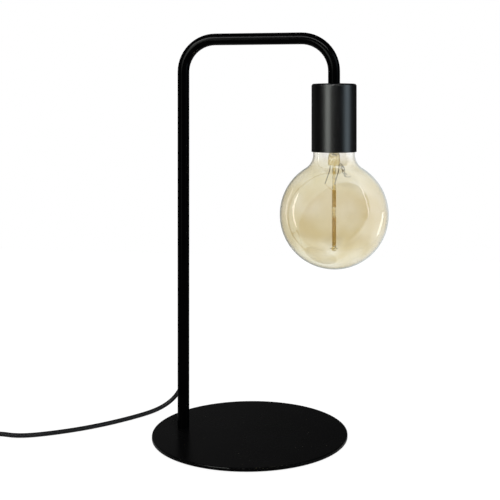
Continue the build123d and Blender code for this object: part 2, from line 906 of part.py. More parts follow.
def switch_screws():
    """Two screws from below, through the base into the posts of the cover."""
    screws = []
    bar = Box(screw_cross_length, screw_cross_width, 2 * screw_cross_depth)
    cross = Pos(0, 0, switch_screw_sunk) * (bar + Rot(0, 0, 90) * bar)
    for x, y in switch_screw_places():
        head = disc(switch_screw_head / 2, switch_screw_sunk, switch_screw_recess) - cross
        shank = disc(switch_screw / 2, switch_screw_recess, switch_split + switch_screw_reach)
        screws.append(switch_at(Pos(x, y, 0) * (head + shank)))
    return screws


def coil_phase(turns):
    """How far a point of the coil is through one swing in and out, in turns."""
    return (turns + 0.25) % (2 * coil_loop_count + 1)


def coil_spread(turns):
    """The coil's radius after some turns: in and out again at one steady rate."""
    swing = coil_loop_count + 0.5
    return coil_radius - coil_pitch * (swing - abs(coil_phase(turns) - swing))


def coil_creep(turns):
    """How fast the coil's radius changes, inwards in the first half of a swing."""
    way = -1 if coil_phase(turns) < coil_loop_count + 0.5 else 1
    return way * coil_pitch / (2 * pi)


def coil_entry():
    """The route from the switch down to the coil's first turn."""
    outlet = switch_length / 2
    points = [
        switch_point(outlet - switch_end_wall + switch_cord_stop, switch_split),
        switch_point(outlet + 2 * cord_diameter, switch_split),
    ]
    for share in (0.5, 1.0):
        heading = radians(switch_turn + coil_lead_bend * share)
        step = Vector(cos(heading), sin(heading), 0) * coil_lead_run
        place = points[-1] + step
        points.append(Vector(place.X, place.Y, coil_floor_z))
    return points


def coil_start():
    """Where the coil's first turn starts, its heading, and the coil's middle."""
    entry = coil_entry()
    heading = radians(switch_turn + coil_lead_bend)
    way = Vector(cos(heading), sin(heading), 0)
    inward = Vector(way.Y, -way.X, 0)
    start = entry[-1] + way * cord_diameter
    middle = start + inward * coil_spread(0)
    return degrees(heading) + 90, Vector(middle.X, middle.Y, 0)


def coil_knots():
    """A place and a direction at each half turn of the coil, wound clockwise from above."""
    start_angle, middle = coil_start()
    knots = []
    for half in range(int(2 * coil_turns) + 1):
        turns = half / 2
        angle = radians(start_angle) - 2 * pi * turns
        radius = coil_spread(turns)
        height = coil_floor_z + half // (2 * coil_loop_count + 1) * coil_rise
        out = Vector(cos(angle), sin(angle), 0)
        along = Vector(sin(angle), -cos(angle), 0)
        place = middle + out * radius + Vector(0, 0, height)
        knots.append((place, (along * radius + out * coil_creep(turns)).normalized()))
    return knots


def biarc(start, start_way, end, end_way):
    """Two arcs that join tangentially and leave both ends in their own directions."""
    span = end - start
    both = start_way + end_way
    a = both.dot(both) - 4
    b = -2 * span.dot(both)
    c = span.dot(span)
    length = (-b - sqrt(b * b - 4 * a * c)) / (2 * a)
    near = start + start_way * length
    far = end - end_way * length
    middle = (near + far) * 0.5
    first = TangentArc(start, middle, tangent=start_way)
    second = TangentArc(middle, end, tangent=(far - near).normalized())
    return [*first.edges(), *second.edges()]


def coil_path():
    """The coil's unbroken centre line, with a straight end of one diameter at each side."""
    knots = coil_knots()
    start, start_way = knots[0]
    end, end_way = knots[-1]
    edges = [Edge.make_line(start - start_way * cord_diameter, start)]
    for (place, way), (next_place, next_way) in zip(knots, knots[1:]):
        edges += biarc(place, way, next_place, next_way)
    edges.append(Edge.make_line(end, end + end_way * cord_diameter))
    return Wire(edges)


def least_gap(path):
    """The least gap of a wound tube to itself, measured between points along it."""
    count = 1600
    step = path.length / count
    places = [path @ (i / count) for i in range(count + 1)]
    skip = int(4 * cord_diameter / step)
    closest = min(
        (b - a).length
        for i, a in enumerate(places[::2])
        for b in places[2 * i + skip::2]
    )
    return closest - cord_diameter


def cord_coil():
    """The spare length, wound in layers, as one unbroken tube."""
    path = coil_path()
    print("coil turns", coil_turns, "length", round(path.length, 1), "least gap", round(least_gap(path), 2))
    return rod(path, cord_radius)


def coil_ties():
    """Two bands round the coil's bundle, on opposite sides, that it also rests on."""
    radii = [coil_spread(i / 100) for i in range(int(100 * coil_turns) + 1)]
    inner = min(radii) - cord_radius - tie_play
    outer = max(radii) + cord_radius + tie_play
    top = coil_top_z + cord_radius + tie_play
    width = outer - inner
    height = top - tie_thickness
    window = RectangleRounded(width, height, tie_corner)
    around = RectangleRounded(
        width + 2 * tie_thickness, height + 2 * tie_thickness, tie_corner + tie_thickness
    )
    band = Plane.XZ * (around - window)
    ties = []
    for angle in tie_angles:
        tie = Pos((inner + outer) / 2, 0, (top + tie_thickness) / 2) * extrude(band, tie_width / 2, both=True)
        ties.append(Pos(coil_start()[1]) * Rot(0, 0, angle) * tie)
    return ties


def plug_lead():
    """The route from the coil's last turn, round and down to the plug's boot."""
    place, way = coil_knots()[-1]
    place = place + way * cord_diameter
    first = degrees(atan2(way.Y, way.X))
    fall = (place.Z - plug_z) / (plug_lead_bend_count - 1)
    points = [place]
    for i in range(plug_lead_bend_count + 1):
        heading = radians(first + (plug_turn - first) * i / plug_lead_bend_count)
        drop = fall if 0 < i < plug_lead_bend_count else 0
        place = place + Vector(cos(heading), sin(heading), 0) * plug_lead_run - Vector(0, 0, drop)
        points.append(place)
    return points


def plug_at(shape):
    """Moves a shape from the plug's own frame, whose Z axis points along its pins."""
    way = Vector(cos(radians(plug_turn)), sin(radians(plug_turn)), 0)
    face = plug_lead()[-1] + way * (boot_length + plug_length)
    return Plane(origin=face, x_dir=(-way.Y, way.X, 0), z_dir=way).location * shape


def plug_section(width, top_width, thickness, along):
    """A six-sided section of the plug, softened at its corners."""
    half = width / 2
    flat = top_width / 2
    high = thickness / 2
    outline = Polyline(
        (half, 0), (flat, high), (-flat, high), (-half, 0), (-flat, -high), (flat, -high), close=True
    )
    face = make_face(outline)
    return Pos(0, 0, along) * fillet(face.vertices(), plug_round)


def pin_places():
    """The two pins, side by side."""
    return [(pin_spacing / 2, 0), (-pin_spacing / 2, 0)]


def plug_body():
    """The flat plug: a full front, a tapered back and a sleeve round the root of each pin."""
    front = plug_section(plug_width, plug_top_width, plug_thickness, -plug_front)
    rear = plug_section(plug_rear_width, plug_rear_top_width, plug_rear_thickness, -plug_length)
    body = extrude(front, plug_front) + loft([rear, front])
    for x, y in pin_places():
        body += Pos(x, y, 0) * disc(pin_sleeve_diameter / 2, 0, pin_sleeve_length)
        body -= Pos(x, y, 0) * disc(pin_core_diameter / 2, -plug_front / 2, pin_sleeve_length)
    return plug_at(body)


def plug_pins():
    """Two round pins with a slimmer root inside the sleeve and a rounded tip."""
    pins = []
    for x, y in pin_places():
        root = disc(pin_core_diameter / 2, -plug_front / 2, pin_sleeve_length)
        tip = disc(pin_diameter / 2, pin_sleeve_length, pin_length)
        tip = fillet(tip.edges().sort_by(Axis.Z)[-1], pin_diameter * 0.35)
        pins.append(plug_at(Pos(x, y, 0) * (root + tip)))
    return pins


def plug_boot():
    """The tapered, grooved boot moulded round the lead behind the plug."""
    root = -plug_length
    tip = root - boot_length
    boot = turned([(0, root), (boot_root / 2, root), (boot_tip / 2, tip), (0, tip)])
    first = tip + boot_length - boot_plain_root - boot_groove_count * boot_groove_pitch + boot_groove_width
    for i in range(boot_groove_count):
        low = first + i * boot_groove_pitch
        share = (root - low - boot_groove_width / 2) / boot_length
        left = (boot_root + (boot_tip - boot_root) * share) / 2 - boot_groove_depth
        boot -= ring(boot_root, left, low, low + boot_groove_width)
    return plug_at(boot)


def cord_to_switch():
    """The lead from the strain relief, down to the ground and along it to the switch."""
    start = Vector(upright_x, 0, exit_z) + exit_way * relief_end
    ground = cord_radius
    inlet = -switch_length / 2
    return cord("cord_to_switch", [
        start,
        start + exit_way * lead_first_run,
        (-76.6, 52.5, 25.5),
        (-85.5, 55.7, 11.3),
        (-99.1, 49.2, ground + 0.4),
        (-115.6, 24.5, ground),
        (-142.0, -5.5, ground),
        (-171.0, -27.5, ground),
        (-199.0, -41.4, ground),
        switch_point(inlet - lead_last_run, switch_split),
        switch_point(inlet + switch_end_wall - switch_cord_stop, switch_split),
    ])


def cord_to_coil():
    """The lead from the switch to the coil's lowest, outermost turn."""
    return cord("cord_to_coil", coil_entry())


def cord_to_plug():
    """The lead from the coil's top, down to the plug beside it."""
    return cord("cord_to_plug", plug_lead())


def build():
    """Makes every piece, under the name of its node."""
    return {
        "base_plate": base_plate(),
        "base_pad": base_pad(),
        "base_screw": base_screw(),
        "foot_plug": foot_plug(),
        "stem_tube": stem_tube(),
        "cord_relief": cord_relief(),
        "inner_lead": inner_lead(),
        "lead_cores": lead_cores(),
        "socket_cover": socket_cover(),
        "lock_washer": lock_washer(),
        "lock_nut": lock_nut(),
        "holder_cap": holder_cap(),
        "holder_body": holder_body(),
        "terminal_block": terminal_block(),
        "screw_shell": screw_shell(),
        "centre_contact": centre_contact(),
        "terminal_screws": terminal_screws(),
        "bulb_glass": bulb_glass(),
        "bulb_stem": bulb_stem(),
        "bulb_supports": support_wires(),
        "bulb_lead_wires": bulb_lead_wires(),
        "bulb_filament": bulb_filament(),
        "bulb_cap": bulb_cap(),
        "bulb_cap_insulator": bulb_cap_insulator(),
        "bulb_tip_contact": bulb_tip_contact(),
        "cord_to_switch": cord_to_switch(),
        "switch_base": switch_base(),
        "switch_cover": switch_cover(),
        "switch_rocker": switch_rocker(),
        "switch_axle": switch_axle(),
        "switch_contacts": switch_contacts(),
        "switch_screws": switch_screws(),
        "cord_to_coil": cord_to_coil(),
        "cord_coil": cord_coil(),
        "coil_ties": coil_ties(),
        "cord_to_plug": cord_to_plug(),
        "plug_boot": plug_boot(),
        "plug_body": plug_body(),
        "plug_pins": plug_pins(),
    }


os.makedirs("parts", exist_ok=True)
for name, piece in build().items():
    solids = piece if isinstance(piece, list) else [piece]
    export_step(Compound(children=[s for shape in solids for s in shape.solids()]), f"parts/{name}.step")
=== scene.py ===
import math

import bmesh
import bpy
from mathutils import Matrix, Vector


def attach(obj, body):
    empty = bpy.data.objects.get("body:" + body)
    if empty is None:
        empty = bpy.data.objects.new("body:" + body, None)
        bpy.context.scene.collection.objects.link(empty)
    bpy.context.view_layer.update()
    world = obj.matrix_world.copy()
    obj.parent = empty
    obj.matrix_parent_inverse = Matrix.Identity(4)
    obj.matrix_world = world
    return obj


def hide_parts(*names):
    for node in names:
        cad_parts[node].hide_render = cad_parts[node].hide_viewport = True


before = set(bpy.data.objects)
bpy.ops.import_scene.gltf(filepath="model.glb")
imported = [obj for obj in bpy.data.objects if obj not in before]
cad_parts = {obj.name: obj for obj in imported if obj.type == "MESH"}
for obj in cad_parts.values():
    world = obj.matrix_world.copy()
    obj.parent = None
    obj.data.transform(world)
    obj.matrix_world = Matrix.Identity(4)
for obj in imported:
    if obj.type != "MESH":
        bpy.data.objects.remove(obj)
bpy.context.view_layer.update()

MM = 0.001
scene = bpy.context.scene
scene.view_settings.view_transform = "Standard"

# Camera: level, turned a little to the left, with the frame shifted to the photograph's
CAMERA_PLACE = (0.16139, -0.81577, 0.28937)
CAMERA_TURN = 9.5
CAMERA_LENS = 67.32
CAMERA_SHIFT = (-0.0552, -0.28)

camera_data = bpy.data.cameras.new("camera")
camera_data.sensor_width = 36.0
camera_data.lens = CAMERA_LENS
camera_data.shift_x, camera_data.shift_y = CAMERA_SHIFT
camera = bpy.data.objects.new("camera", camera_data)
camera.location = CAMERA_PLACE
camera.rotation_euler = (math.radians(90), 0, math.radians(CAMERA_TURN))
scene.collection.objects.link(camera)
scene.camera = camera


# Sizes of the lamp, in millimetres, as the CAD frame has them
BULB_X = 75.0
GLOBE_Z = 197.9
GLOBE_R = 47.5
TIP_Z = 286.4
UPRIGHT_X = -61.0
EXIT_TURN = 102.0
EXIT_Z = 33.4
RELIEF_END = 27.0
EXIT_RUN = 13.2
CORD_R = 2.0
SWITCH_PLACE = (-257.0, -64.25)
SWITCH_TURN = 201.0
SWITCH_SPLIT = 6.5
SWITCH_ENDS = (-26.0, 26.0)
LEAD_RUN_IN = -43.0
LEAD_RUN_OUT = 38.0
COIL_RADIUS = 29.2
COIL_PITCH = 4.6
COIL_RISE = 4.6
COIL_TURNS = 9.5
COIL_LAYER = 2.5
COIL_STEP_UP = 0.5
COIL_HEAD_START = 0.25
COIL_FLOOR = 2.85
COIL_POINTS = 16
COIL_RUN = 13.0
COIL_BEND = 9.0
PLUG_RUN = 14.0
PLUG_Z = 6.85


def heading(degrees_):
    """A level direction."""
    turn = math.radians(degrees_)
    return Vector((math.cos(turn), math.sin(turn), 0))


def link(obj, body, *nodes):
    """Puts a new piece into the scene, on a body, in place of its CAD nodes."""
    scene.collection.objects.link(obj)
    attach(obj, body)
    if nodes:
        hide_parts(*nodes)
    return obj


def cord_piece(name, points, radius):
    """A cord on one smooth NURBS line, from its route's points in millimetres."""
    curve = bpy.data.curves.new(name, "CURVE")
    curve.dimensions = "3D"
    curve.bevel_depth = 1.0
    curve.bevel_resolution = 6
    curve.resolution_u = 10
    curve.use_fill_caps = True
    spline = curve.splines.new("NURBS")
    spline.points.add(len(points) - 1)
    for point, place in zip(spline.points, points):
        point.co = (*(Vector(place) * MM), 1)
        point.radius = radius * MM
    spline.order_u = 3
    spline.use_endpoint_u = True
    return bpy.data.objects.new(name, curve)


def switch_point(x, z=SWITCH_SPLIT):
    """A point on the switch's long middle plane."""
    place = Vector((*SWITCH_PLACE, 0)) + heading(SWITCH_TURN) * x
    return Vector((place.x, place.y, z))


def coil_spread(turns):
    """The coil's radius after some turns: in for a layer and out again for the next, at one steady rate."""
    phase = (turns + COIL_HEAD_START) % (2 * COIL_LAYER)
    return COIL_RADIUS - COIL_PITCH * (COIL_LAYER - abs(phase - COIL_LAYER))


def coil_height(turns):
    """The coil's height after some turns: level for two turns, then up in half a turn."""
    layer, part = divmod(turns, COIL_LAYER)
    rise = max(0.0, part - (COIL_LAYER - COIL_STEP_UP)) / COIL_STEP_UP
    share = 2 * rise * rise if rise < 0.5 else 1 - 2 * (1 - rise) ** 2
    return COIL_FLOOR + COIL_RISE * (layer + share)


# The lead from the strain relief to the switch
exit_way = heading(EXIT_TURN)
relief_tip = Vector((UPRIGHT_X, 0, EXIT_Z)) + exit_way * RELIEF_END
route_to_switch = [
    relief_tip,
    relief_tip + exit_way * EXIT_RUN,
    (-76.6, 52.5, 25.5),
    (-85.5, 55.7, 11.3),
    (-99.1, 49.2, 2.4),
    (-115.6, 24.5, 2.0),
    (-142.0, -5.5, 2.0),
    (-171.0, -27.5, 2.0),
    (-199.0, -41.4, 2.0),
    switch_point(LEAD_RUN_IN),
    switch_point(SWITCH_ENDS[0]),
]
lead = link(cord_piece("lead", route_to_switch, CORD_R), "lamp", "cord_to_switch")

# The rest of the lead: from the switch, round the coil, and on to the plug
spare_route = [switch_point(SWITCH_ENDS[1]), switch_point(LEAD_RUN_OUT)]
for share in (0.5, 1.0):
    place = spare_route[-1] + heading(SWITCH_TURN + COIL_BEND * share) * COIL_RUN
    spare_route.append(Vector((place.x, place.y, COIL_FLOOR)))
coil_way = heading(SWITCH_TURN + COIL_BEND)
coil_start = spare_route[-1] + coil_way * 2 * CORD_R
inward = Vector((coil_way.y, -coil_way.x, 0))
coil_middle = coil_start + inward * coil_spread(0)
start_angle = SWITCH_TURN + COIL_BEND + 90
widen = 1 / math.cos(math.pi / COIL_POINTS)
for i in range(int(COIL_TURNS * COIL_POINTS) + 1):
    turns = i / COIL_POINTS
    place = coil_middle + heading(start_angle - 360 * turns) * coil_spread(turns) * widen
    spare_route.append(Vector((place.x, place.y, coil_height(turns))))
end_heading = start_angle - 90 - 180
place = coil_middle + heading(start_angle - 180) * coil_spread(COIL_TURNS)
place = Vector((place.x, place.y, coil_height(COIL_TURNS))) + heading(end_heading) * 2 * CORD_R
spare_route.append(place)
fall = (place.z - PLUG_Z) / 2
for i, drop in enumerate((0, fall, fall, 0)):
    place = place + heading(end_heading + (90 - end_heading) * i / 3) * PLUG_RUN
    place = Vector((place.x, place.y, place.z - drop))
    spare_route.append(place)
spare_lead = link(
    cord_piece("spare_lead", spare_route, CORD_R), "lamp", "cord_to_coil", "cord_coil", "cord_to_plug"
)


# Materials
COLOUR_RANGE = (0.35, 0.65)
NOISE_RANGE = (0.3, 0.7)
RIM_RANGE = (0.72, 0.92)
BAND_WAVER = 0.003


def new_material(name):
    """An empty material with its nodes, its shader and its texture coordinates."""
    made = bpy.data.materials.new(name)
    made.use_nodes = True
    nodes = made.node_tree.nodes
    shader = nodes["Principled BSDF"]
    place = nodes.new("ShaderNodeTexCoord")
    return made, nodes, made.node_tree.links, shader, place


def feed(links, socket, value):
    """Sets a socket to a number or a plain colour, or links it to another socket."""
    if isinstance(value, (int, float)):
        socket.default_value = value
    elif isinstance(value, tuple):
        socket.default_value = (*value, 1)
    else:
        links.new(value, socket)


def coordinate(nodes, links, place, axis):
    """One coordinate of the surface, in metres in the shared frame."""
    split = nodes.new("ShaderNodeSeparateXYZ")
    links.new(place.outputs["Object"], split.inputs[0])
    return split.outputs[axis]


def maths(nodes, links, operation, first, second):
    """One step of arithmetic between two sockets or numbers."""
    step = nodes.new("ShaderNodeMath")
    step.operation = operation
    feed(links, step.inputs[0], first)
    feed(links, step.inputs[1], second)
    return step.outputs[0]


def between(nodes, links, value, low, high, at_low=0.0, at_high=1.0, course="SMOOTHSTEP"):
    """A number that goes from one value to another as a socket goes from low to high."""
    step = nodes.new("ShaderNodeMapRange")
    step.interpolation_type = course
    step.inputs["From Min"].default_value = low
    step.inputs["From Max"].default_value = high
    step.inputs["To Min"].default_value = at_low
    step.inputs["To Max"].default_value = at_high
    links.new(value, step.inputs["Value"])
    return step.outputs["Result"]


def colour_mix(nodes, links, share, first, second, kind="MIX"):
    """Two colours mixed. They and their share are sockets or plain values."""
    step = nodes.new("ShaderNodeMix")
    step.data_type, step.blend_type = "RGBA", kind
    feed(links, step.inputs["Factor"], share)
    colours = [socket for socket in step.inputs if socket.type == "RGBA"]
    feed(links, colours[0], first)
    feed(links, colours[1], second)
    return next(socket for socket in step.outputs if socket.type == "RGBA")


def noise_field(nodes, links, place, scale, detail=3.0, stretch=(1, 1, 1)):
    """A noise over the piece, finer along the axes that are stretched."""
    mapping = nodes.new("ShaderNodeMapping")
    mapping.inputs["Scale"].default_value = stretch
    noise = nodes.new("ShaderNodeTexNoise")
    noise.inputs["Scale"].default_value = scale
    noise.inputs["Detail"].default_value = detail
    links.new(place.outputs["Object"], mapping.inputs["Vector"])
    links.new(mapping.outputs["Vector"], noise.inputs["Vector"])
    return noise.outputs["Fac"]


def blend_colours(nodes, links, field, low, high):
    """A colour that goes from one to the other with a noise field."""
    ramp = nodes.new("ShaderNodeValToRGB")
    ramp.color_ramp.elements[0].position = COLOUR_RANGE[0]
    ramp.color_ramp.elements[1].position = COLOUR_RANGE[1]
    ramp.color_ramp.elements[0].color = (*low, 1)
    ramp.color_ramp.elements[1].color = (*high, 1)
    links.new(field, ramp.inputs["Fac"])
    return ramp.outputs["Color"]


def spread_value(nodes, links, field, low, high):
    """A number that goes from low to high with a noise field."""
    return between(nodes, links, field, *NOISE_RANGE, low, high, "LINEAR")


def relief_from(nodes, links, field, strength, height):
    """A bump from a field, with its height in metres."""
    bump = nodes.new("ShaderNodeBump")
    bump.inputs["Strength"].default_value = strength
    bump.inputs["Distance"].default_value = height
    links.new(field, bump.inputs["Height"])
    return bump.outputs["Normal"]


def grained(name, low, high, rough, metal=0.0, grain=1500.0, patch=60.0, bump=0.2, height=5e-5,
            specular=0.5, stretch=(1, 1, 1), sheen=0.0, rise=None):
    """A surface with a fine grain, uneven colour and uneven gloss.

    With rise=(low, high, top), its specular level goes over to top between two heights in metres.
    """
    made, nodes, links, shader, place = new_material(name)
    fine = noise_field(nodes, links, place, grain, 2.0, stretch)
    broad = noise_field(nodes, links, place, patch, 3.0, stretch)
    links.new(blend_colours(nodes, links, broad, low, high), shader.inputs["Base Color"])
    links.new(spread_value(nodes, links, broad, *rough), shader.inputs["Roughness"])
    links.new(relief_from(nodes, links, fine, bump, height), shader.inputs["Normal"])
    shader.inputs["Metallic"].default_value = metal
    shader.inputs["Specular IOR Level"].default_value = specular
    shader.inputs["Sheen Weight"].default_value = sheen
    if rise:
        low_z, high_z, top = rise
        gloss = between(nodes, links, coordinate(nodes, links, place, "Z"), low_z, high_z, specular, top)
        links.new(gloss, shader.inputs["Specular IOR Level"])
    return made


def by_height(nodes, links, place, field, stops):
    """A colour that changes with height, from (height in metres, colour) stops, at uneven levels."""
    waver = spread_value(nodes, links, field, -BAND_WAVER, BAND_WAVER)
    height = maths(nodes, links, "ADD", coordinate(nodes, links, place, "Z"), waver)
    low, high = stops[0][0], stops[-1][0]
    share = between(nodes, links, height, low, high, course="LINEAR")
    ramp = nodes.new("ShaderNodeValToRGB")
    marks = ramp.color_ramp.elements
    marks[0].color, marks[1].color = (*stops[0][1], 1), (*stops[-1][1], 1)
    for level, colour in stops[1:-1]:
        marks.new((level - low) / (high - low)).color = (*colour, 1)
    links.new(share, ramp.inputs["Fac"])
    return ramp.outputs["Color"]


def glassy(name, tint, deep, bands=None, edge=None, neck=None, ior=1.5, wave=90.0, bump=0.03, height=2e-4):
    """Clear glass with an uneven tint, which can be deeper seen edge on, and can come in bands of height that
    paint lighter and darker zones of light into the tint.

    With neck=(low, high, more), the deeper edge widens between two heights in metres.
    """
    made, nodes, links, shader, place = new_material(name)
    broad = noise_field(nodes, links, place, wave, 1.0)
    colour = blend_colours(nodes, links, broad, tint, deep)
    # Painted light: the bands of height paint lighter and darker zones into the glass's tint.
    if bands:
        tint_with_painted_light = by_height(nodes, links, place, broad, bands)
        colour = colour_mix(nodes, links, 1.0, colour, tint_with_painted_light, "MULTIPLY")
    if edge:
        low_z, high_z, more = neck
        weight = nodes.new("ShaderNodeLayerWeight")
        weight.inputs["Blend"].default_value = 0.5
        wider = between(nodes, links, coordinate(nodes, links, place, "Z"), low_z, high_z, 0.0, more)
        facing = maths(nodes, links, "ADD", weight.outputs["Facing"], wider)
        rim = between(nodes, links, facing, *RIM_RANGE, course="LINEAR")
        colour = colour_mix(nodes, links, rim, colour, edge)
    links.new(colour, shader.inputs["Base Color"])
    links.new(relief_from(nodes, links, broad, bump, height), shader.inputs["Normal"])
    shader.inputs["Roughness"].default_value = 0.0
    shader.inputs["IOR"].default_value = ior
    shader.inputs["Transmission Weight"].default_value = 1.0
    return made


base_paint = grained("base_paint", (0.0008, 0.0008, 0.0009), (0.0013, 0.0013, 0.0014), (0.26, 0.28),
                     grain=1800.0, patch=35.0, bump=0.2, height=3e-5, specular=0.16)
tube_paint = grained("tube_paint", (0.0006, 0.0006, 0.0007), (0.0011, 0.0011, 0.0012), (0.15, 0.20),
                     grain=1800.0, patch=35.0, bump=0.12, height=2e-5, specular=0.010,
                     rise=(0.320, 0.346, 0.10))
cover_paint = grained("cover_paint", (0.0010, 0.0010, 0.0011), (0.0018, 0.0018, 0.0019), (0.32, 0.36),
                      grain=1800.0, patch=35.0, bump=0.2, height=3e-5, specular=0.7)
foam = grained("foam", (0.012, 0.012, 0.012), (0.022, 0.022, 0.022), (0.85, 0.95), grain=1400.0,
               bump=0.8, height=1.5e-4, specular=0.2)
zinc = grained("zinc", (0.46, 0.47, 0.49), (0.60, 0.61, 0.62), (0.25, 0.40), metal=0.5, grain=2500.0,
               patch=400.0, bump=0.1)
rubber = grained("black_rubber", (0.008, 0.008, 0.009), (0.013, 0.013, 0.014), (0.50, 0.62), grain=2600.0,
                 patch=200.0, bump=0.2, height=3e-5, specular=0.25)
sheath = grained("black_lead", (0.008, 0.008, 0.009), (0.012, 0.012, 0.013), (0.34, 0.46), grain=2200.0,
                 patch=120.0, bump=0.2, height=4e-5, specular=0.2)
holder_plastic = grained("holder_plastic", (0.012, 0.012, 0.012), (0.020, 0.020, 0.020), (0.45, 0.60),
                         grain=1800.0, patch=150.0, bump=0.25)
ceramic = grained("ceramic", (0.66, 0.63, 0.56), (0.76, 0.73, 0.66), (0.55, 0.70), grain=2400.0,
                  patch=300.0, bump=0.3)
brass = grained("brass", (0.62, 0.42, 0.16), (0.76, 0.54, 0.25), (0.22, 0.36), metal=0.55, grain=2400.0,
                patch=260.0, bump=0.1)
cap_metal = grained("cap_brass", (0.64, 0.48, 0.24), (0.78, 0.62, 0.36), (0.20, 0.34), metal=0.55,
                    grain=2000.0, patch=180.0, bump=0.1)
solder = grained("solder", (0.46, 0.46, 0.47), (0.62, 0.62, 0.62), (0.30, 0.50), metal=0.5, grain=1600.0,
                 patch=700.0, bump=0.4, height=1e-4)
nickel = grained("nickel_wire", (0.24, 0.22, 0.18), (0.34, 0.31, 0.26), (0.25, 0.40), metal=1.0,
                 grain=4000.0, patch=900.0, bump=0.05)
filament_metal = grained("filament_wire", (0.84, 0.520, 0.080), (0.98, 0.700, 0.140), (0.45, 0.60),
                         grain=5000.0, patch=1500.0, bump=0.05, specular=0.2)
black_glass = grained("black_glass", (0.010, 0.010, 0.012), (0.018, 0.018, 0.020), (0.06, 0.14),
                      grain=900.0, patch=300.0, bump=0.1)
switch_plastic = grained("switch_plastic", (0.010, 0.010, 0.011), (0.015, 0.015, 0.016), (0.32, 0.44),
                         grain=2600.0, patch=90.0, bump=0.3, height=4e-5, specular=0.25)
rocker_plastic = grained("rocker_plastic", (0.013, 0.013, 0.014), (0.018, 0.018, 0.019), (0.22, 0.32),
                         grain=2600.0, patch=90.0, bump=0.15, height=3e-5, specular=0.3)
plug_plastic = grained("plug_plastic", (0.010, 0.010, 0.011), (0.015, 0.015, 0.016), (0.42, 0.55),
                       grain=2000.0, patch=100.0, bump=0.35, height=5e-5, specular=0.2)
pin_metal = grained("pin_metal", (0.62, 0.61, 0.58), (0.74, 0.73, 0.70), (0.12, 0.24), metal=0.45,
                    grain=2800.0, patch=500.0, bump=0.06, stretch=(1, 0.1, 1))
tie_fabric = grained("tie_fabric", (0.010, 0.010, 0.010), (0.022, 0.022, 0.022), (0.80, 0.95),
                     grain=1900.0, patch=900.0, bump=0.9, height=2.5e-4, specular=0.2, sheen=0.3)
core_sleeve = grained("core_sleeve", (0.14, 0.055, 0.022), (0.18, 0.075, 0.030), (0.28, 0.40),
                      grain=2500.0, patch=300.0, bump=0.1)
# The amber tint in bands of height. The globe's lighter bottom, top and neck round a darker middle band are
# painted light over the glass's own amber.
AMBER_AND_PAINTED_LIGHT_BANDS = [
    (0.150, (0.950, 0.930, 0.850)),
    (0.166, (0.930, 0.905, 0.800)),
    (0.174, (0.835, 0.785, 0.645)),
    (0.190, (0.826, 0.773, 0.626)),
    (0.206, (0.850, 0.803, 0.690)),
    (0.232, (0.872, 0.840, 0.725)),
    (0.240, (0.888, 0.864, 0.780)),
    (0.245, (0.910, 0.897, 0.855)),
    (0.249, (0.935, 0.937, 0.950)),
    (0.253, (0.935, 0.937, 0.950)),
]
amber = glassy("amber_glass", (1.0, 1.0, 1.0), (0.94, 0.905, 0.80), bands=AMBER_AND_PAINTED_LIGHT_BANDS,
               edge=(0.44, 0.395, 0.30), neck=(0.237, 0.247, 0.16), wave=45.0)
stem_clear = glassy("stem_glass", (1.0, 0.98, 0.84), (0.70, 0.55, 0.22), ior=1.16, wave=700.0, bump=1.0,
                    height=1.6e-3)

NODE_MATERIALS = {
    "base_plate": base_paint, "stem_tube": tube_paint, "socket_cover": cover_paint, "base_pad": foam,
    "base_screw": zinc, "foot_plug": zinc, "lock_washer": zinc, "lock_nut": zinc,
    "cord_relief": rubber, "inner_lead": sheath, "lead_cores": core_sleeve,
    "holder_cap": holder_plastic, "holder_body": holder_plastic, "terminal_block": ceramic,
    "screw_shell": brass, "centre_contact": brass, "terminal_screws": brass,
    "bulb_glass": amber, "bulb_stem": stem_clear, "bulb_lead_wires": nickel,
    "bulb_filament": filament_metal, "bulb_supports": nickel, "bulb_cap": cap_metal,
    "bulb_cap_insulator": black_glass, "bulb_tip_contact": solder,
    "cord_to_switch": sheath, "cord_to_coil": sheath, "cord_coil": sheath, "cord_to_plug": sheath,
    "coil_ties": tie_fabric, "switch_base": switch_plastic, "switch_cover": switch_plastic,
    "switch_rocker": rocker_plastic, "switch_axle": zinc, "switch_contacts": brass,
    "switch_screws": zinc, "plug_boot": plug_plastic, "plug_body": plug_plastic, "plug_pins": pin_metal,
}
for name, chosen in NODE_MATERIALS.items():
    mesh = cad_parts[name].data
    mesh.materials.clear()
    mesh.materials.append(chosen)


def dress(piece, material):
    """Gives a new piece its material."""
    piece.data.materials.append(material)


dress(lead, sheath)
dress(spare_lead, sheath)


def about_bulb(radius, angle, height):
    """A point about the bulb's axis, in metres, from millimetres and radians."""
    return (BULB_X + radius * math.cos(angle)) * MM, radius * math.sin(angle) * MM, height * MM


def smooth_faces(mesh):
    """Shades a mesh's faces smooth."""
    for face in mesh.polygons:
        face.use_smooth = True


def finished(name, made):
    """A smooth mesh object from a bmesh."""
    bmesh.ops.recalc_face_normals(made, faces=made.faces)
    mesh = bpy.data.meshes.new(name)
    made.to_mesh(mesh)
    made.free()
    smooth_faces(mesh)
    return bpy.data.objects.new(name, mesh)


def turned_mesh(name, outline, steps):
    """A mesh turned about the bulb's axis from (radius, height) points in millimetres."""
    made = bmesh.new()
    rings = []
    for radius, height in outline:
        if radius < 1e-6:
            rings.append([made.verts.new((BULB_X * MM, 0, height * MM))])
            continue
        rings.append([
            made.verts.new(about_bulb(radius, 2 * math.pi * k / steps, height)) for k in range(steps)
        ])
    for a, b in zip(rings, rings[1:]):
        if len(a) == 1 and len(b) == 1:
            continue
        for k in range(steps):
            n = (k + 1) % steps
            if len(a) == 1:
                made.faces.new((a[0], b[n], b[k]))
            elif len(b) == 1:
                made.faces.new((a[k], a[n], b[0]))
            else:
                made.faces.new((a[k], a[n], b[n], b[k]))
    return finished(name, made)


